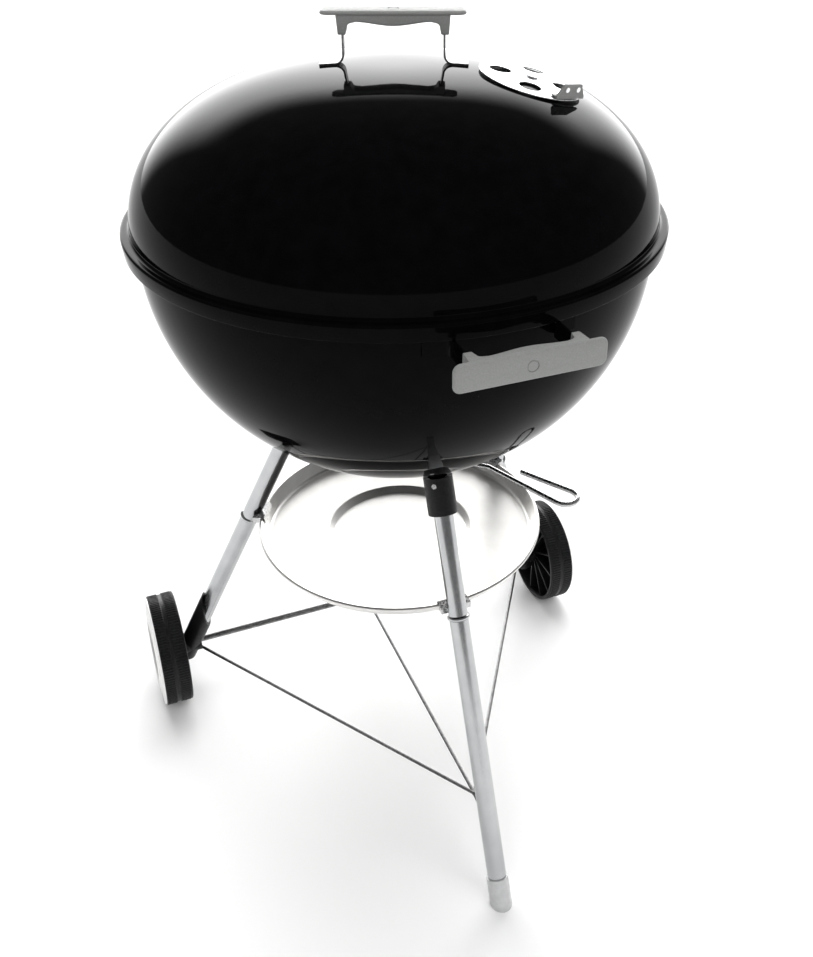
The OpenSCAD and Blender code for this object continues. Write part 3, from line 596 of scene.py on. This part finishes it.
def wheel(side_name, sign):
    low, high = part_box(side_name + "_wheel")
    radius = (high[2] - low[2]) / 2
    middle = JOINTS["wheel_" + side_name + "_spin"]["pos_m"]
    place = along(middle, (sign, 0, 0), (0, 0, 1))
    half, edge, groove, rib = 19 * MM, 2.5 * MM, 1.2 * MM, 0.9 * MM
    bore_r, hub_r, inner_r = 4.06 * MM, 11.5 * MM, 71 * MM
    face = half - 1.85 * MM
    g0, g1 = 3.2 * MM, 2 * MM
    tread = ([(radius - rib, edge - half, 0), (radius, edge - half + 0.9 * MM, 1)]
             + [(radius, -half + edge + 0.9 * MM + 12 * MM * i / 3, 1) for i in (1, 2)]
             + [(radius, -g0 - 0.3 * MM, 1), (radius - groove, -g1, 0), (radius - groove, g1, 0),
                (radius, g0 + 0.3 * MM, 1), (radius, 8 * MM, 1), (radius, 12 * MM, 1),
                (radius, face - 1.4 * MM, 1), (radius - rib, face - 0.7 * MM, 0)])
    shoulder = arc((radius - edge, edge - half), edge, -90, -25, 6)
    profile = ([(inner_r, face), (inner_r, 1 * MM - half), (inner_r + 0.5 * MM, -half)]
               + shoulder + [(r, z) for r, z, _ in tread]
               + [(radius - 1.6 * MM, face)])
    ribbed = [False] * (3 + len(shoulder)) + [bool(flag) for _, _, flag in tread] + [False]

    def tread_radius(i, k, r):
        return r - rib if ribbed[i] and k % 4 > 1 else r

    mesh = turned(bmesh.new(), profile, place, RIB_N * 4, tread_radius)
    hub = [(bore_r, -15.5 * MM), (hub_r - 0.8 * MM, -15.5 * MM), (hub_r, -14.7 * MM),
           (hub_r, 3 * MM), (hub_r + 1 * MM, 4 * MM), (inner_r + 1 * MM, 4 * MM),
           (inner_r + 1 * MM, 7 * MM), (hub_r + 1 * MM, 7 * MM), (hub_r, 8 * MM),
           (hub_r, 9.2 * MM), (hub_r - 0.8 * MM, 10 * MM), (bore_r, 10 * MM)]
    turned(mesh, hub, place, 96)
    spoke, spoke_in, spoke_out = 1 * MM, hub_r - 1 * MM, inner_r + 0.8 * MM
    inside = [(spoke_in, 5 * MM), (spoke_in, -14.5 * MM), (spoke_out, -15.5 * MM), (spoke_out, 5 * MM)]
    outside = [(spoke_in, 6 * MM), (38 * MM, 6 * MM), (38 * MM, 8 * MM), (spoke_in, 9.4 * MM)]
    for i in range(SPOKE_N):
        turn = place @ Matrix.Rotation(2 * math.pi * i / SPOKE_N, 4, "Z")
        prism(mesh, inside, -spoke, spoke, turn)
        prism(mesh, outside, -spoke, spoke, turn)
    body = "wheel_" + side_name
    piece(side_name + "_tyre", mesh, "black_plastic", body, [side_name + "_wheel"], sharp=28)

    rise, in_r, out_r, t, lip = 2.5 * MM, 41 * MM, 75 * MM, 1.8 * MM, 2.8 * MM
    top = half + rise
    trim = ([(out_r, half - t)] + arc((out_r - 0.9 * MM, half - 0.9 * MM), 0.9 * MM, 0, 85, 6)
            + [(58 * MM, half + rise * 0.62)] + arc((in_r + 1.2 * MM, top - 1.2 * MM), 1.2 * MM, 95, 180, 6)
            + [(in_r, top - lip), (in_r + t, top - lip), (in_r + t, top - t),
               (58 * MM, half + rise * 0.62 - t), (71 * MM, half - t)])
    piece(side_name + "_trim", turned(bmesh.new(), trim, place, 192), "white_plastic", body,
          [side_name + "_wheel_trim"], sharp=50)

    base = 10.3 * MM
    cap = ([(0, base + 3.6 * MM), (4.1 * MM, base + 3.5 * MM), (4.1 * MM, base), (9 * MM, base)]
           + [(9 * MM, base + 2.6 * MM)] + arc((6.6 * MM, base + 2.6 * MM), 2.4 * MM, 0, 90, 8)
           + [(0, base + 5 * MM)])
    piece(side_name + "_cap", turned(bmesh.new(), cap, place, 64), "plated_steel", "stand",
          [side_name + "_hub_cap"])


# ---------- grates ----------


def grate(name, node, body, wire, rod, pitch, cross_x, cross_l, loops):
    """A wire ring with rods across it, cross rods at cross_x under them, and lifting loops if asked."""
    low, high = (Vector(v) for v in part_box(node))
    radius = high.x
    level = low.z + 3 * rod + 0.02 * MM
    mesh = bmesh.new()
    ring = arc((radius - wire, 0), wire, 0, 337.5, 15)
    turned(mesh, ring, Matrix.Translation((0, 0, level)), 160)

    def bar(start, end, r):
        start, end = Vector(start), Vector(end)
        length = (end - start).length
        tip = 0.35 * r
        profile = [(0, 0), (r - tip, 0), (r, tip), (r, length - tip), (r - tip, length), (0, length)]
        turned(mesh, profile, along(start, end - start), 16)

    n = math.floor((radius - 2 * wire - 4 * MM) / pitch)
    for i in range(-n, n + 1):
        y = i * pitch
        half = math.sqrt(radius * radius - y * y) - wire
        bar((-half, y, level), (half, y, level), rod)
    for x in cross_x:
        bar((x, -cross_l / 2, level - 2 * rod), (x, cross_l / 2, level - 2 * rod), rod)
    if loops:
        reach, width = radius - 20 * MM, 60 * MM
        for side in (-1, 1):
            x, base, top = side * reach, level + wire * 0.3, high.z - wire
            for y in (-width / 2 + wire, width / 2 - wire):
                bar((x, y, base), (x, y, top), wire * 0.9)
            bar((x, -width / 2, top), (x, width / 2, top), wire * 0.9)
    piece(name, mesh, SLOT_OF[node], body, [node])


# ---------- stage, light and camera ----------

PANEL_AZIMUTH = math.radians(21)
PANEL_STRENGTH, GLOW = 6.0, 0.2
CAMERA_AT = (-0.3776, -1.0615, 1.1712)
CAMERA_AZIMUTH, CAMERA_PITCH, CAMERA_ROLL = (math.radians(v) for v in (-22.74, 28.31, 0.37))


def stage():
    mesh = bmesh.new()
    bmesh.ops.create_circle(mesh, cap_ends=True, segments=96, radius=14)
    f = Finish("pale_floor")
    f.colour(f.noise(0.6, 2), (0.86, 0.86, 0.86), (0.88, 0.88, 0.88))
    f.roughness(f.noise(3), 0.7, 0.8)
    FINISH["floor"] = f.material
    floor = piece("floor", mesh, "floor", None)


def sun(name, azimuth, elevation, strength, spread):
    """A soft sun. Its azimuth turns from +Y towards +X. Shiny surfaces don't show it."""
    a, e = math.radians(azimuth), math.radians(elevation)
    data = bpy.data.lights.new(name, "SUN")
    data.energy = strength
    data.angle = math.radians(spread)
    obj = bpy.data.objects.new(name, data)
    bpy.context.scene.collection.objects.link(obj)
    towards = Vector((math.sin(a) * math.cos(e), math.cos(a) * math.cos(e), math.sin(e)))
    obj.rotation_mode = "QUATERNION"
    obj.rotation_quaternion = (-towards).to_track_quat("-Z", "Y")
    obj.visible_glossy = False


def studio():
    """A bright backdrop behind the grill, dark elsewhere, a soft sun overhead and three at the sides."""
    world = bpy.data.worlds.new("studio")
    bpy.context.scene.world = world
    world.use_nodes = True
    tree = world.node_tree
    link = tree.links.new

    def fade(value, start, end):
        n = tree.nodes.new("ShaderNodeMapRange")
        n.interpolation_type = "SMOOTHSTEP"
        n.inputs["From Min"].default_value = start
        n.inputs["From Max"].default_value = end
        link(value, n.inputs["Value"])
        return n.outputs["Result"]

    def math_node(operation, a, b):
        n = tree.nodes.new("ShaderNodeMath")
        n.operation = operation
        for socket, value in zip(n.inputs, (a, b)):
            if isinstance(value, float):
                socket.default_value = value
            else:
                link(value, socket)
        return n.outputs[0]

    ray = tree.nodes.new("ShaderNodeTexCoord").outputs["Generated"]
    flat = tree.nodes.new("ShaderNodeVectorMath")
    flat.operation = "MULTIPLY"
    flat.inputs[1].default_value = (1, 1, 0)
    link(ray, flat.inputs[0])
    level = tree.nodes.new("ShaderNodeVectorMath")
    level.operation = "NORMALIZE"
    link(flat.outputs[0], level.inputs[0])
    facing = tree.nodes.new("ShaderNodeVectorMath")
    facing.operation = "DOT_PRODUCT"
    facing.inputs[1].default_value = (math.sin(PANEL_AZIMUTH), math.cos(PANEL_AZIMUTH), 0)
    link(level.outputs[0], facing.inputs[0])
    split = tree.nodes.new("ShaderNodeSeparateXYZ")
    link(ray, split.inputs[0])
    across = fade(facing.outputs["Value"], 0.66, 0.90)
    upward = fade(math_node("SUBTRACT", 1.0, split.outputs["Z"]), 0.40, 0.60)
    panel = math_node("MULTIPLY", math_node("MULTIPLY", across, upward), PANEL_STRENGTH)
    glow = math_node("ADD", panel, GLOW)
    seen = tree.nodes.new("ShaderNodeLightPath").outputs["Is Camera Ray"]
    backdrop = tree.nodes["Background"]
    link(math_node("MAXIMUM", glow, seen), backdrop.inputs["Strength"])
    backdrop.inputs["Color"].default_value = (1, 1, 1, 1)
    sun("overhead", 30, 76, 1.7, 40)
    for azimuth in (-150, 150, 20):
        sun("side_%d" % azimuth, azimuth, 42, 0.8, 40)


def camera():
    azimuth, pitch, roll = CAMERA_AZIMUTH, CAMERA_PITCH, CAMERA_ROLL
    back = Vector((math.sin(azimuth) * math.cos(pitch), -math.cos(azimuth) * math.cos(pitch),
                   math.sin(pitch)))
    level = Vector((math.cos(azimuth), math.sin(azimuth), 0))
    up = back.cross(level)
    right = level * math.cos(roll) + up * math.sin(roll)
    top = up * math.cos(roll) - level * math.sin(roll)
    data = bpy.data.cameras.new("camera")
    data.sensor_width = 36
    data.lens = 41.19
    data.shift_x, data.shift_y = -0.0489, -0.1223
    data.clip_start, data.clip_end = 0.05, 60
    obj = bpy.data.objects.new("camera", data)
    bpy.context.scene.collection.objects.link(obj)
    turn = Matrix((right, top, back)).transposed().to_4x4()
    turn.translation = CAMERA_AT
    obj.matrix_world = turn
    bpy.context.scene.camera = obj


bpy.context.scene.view_settings.view_transform = "Standard"
camera()
studio()
stage()
lid_shell()
damper_disc()
bowl_shell()
grip("lid_grip", "lid_handle_grip", "lid")
grip("front_grip", "front_handle_grip", "stand")
grip("rear_grip", "rear_handle_grip", "stand")
tube("front_tube", "front_leg_tube", FRONT_LEG, *FRONT_TUBE)
tube("left_tube", "left_leg_tube", LEFT_LEG, *REAR_TUBE)
tube("right_tube", "right_leg_tube", RIGHT_LEG, *REAR_TUBE)
ash_catcher()
wheel("left", -1)
wheel("right", 1)
grate("cooking_wires", "cooking_grate", "cooking_grate_body", 2.5 * MM, 1.9 * MM, 18 * MM,
      (-110 * MM, 110 * MM), 380 * MM, True)
grate("charcoal_wires", "charcoal_grate", "charcoal_grate_body", 3 * MM, 2.6 * MM, 30 * MM,
      (0,), 380 * MM, False)
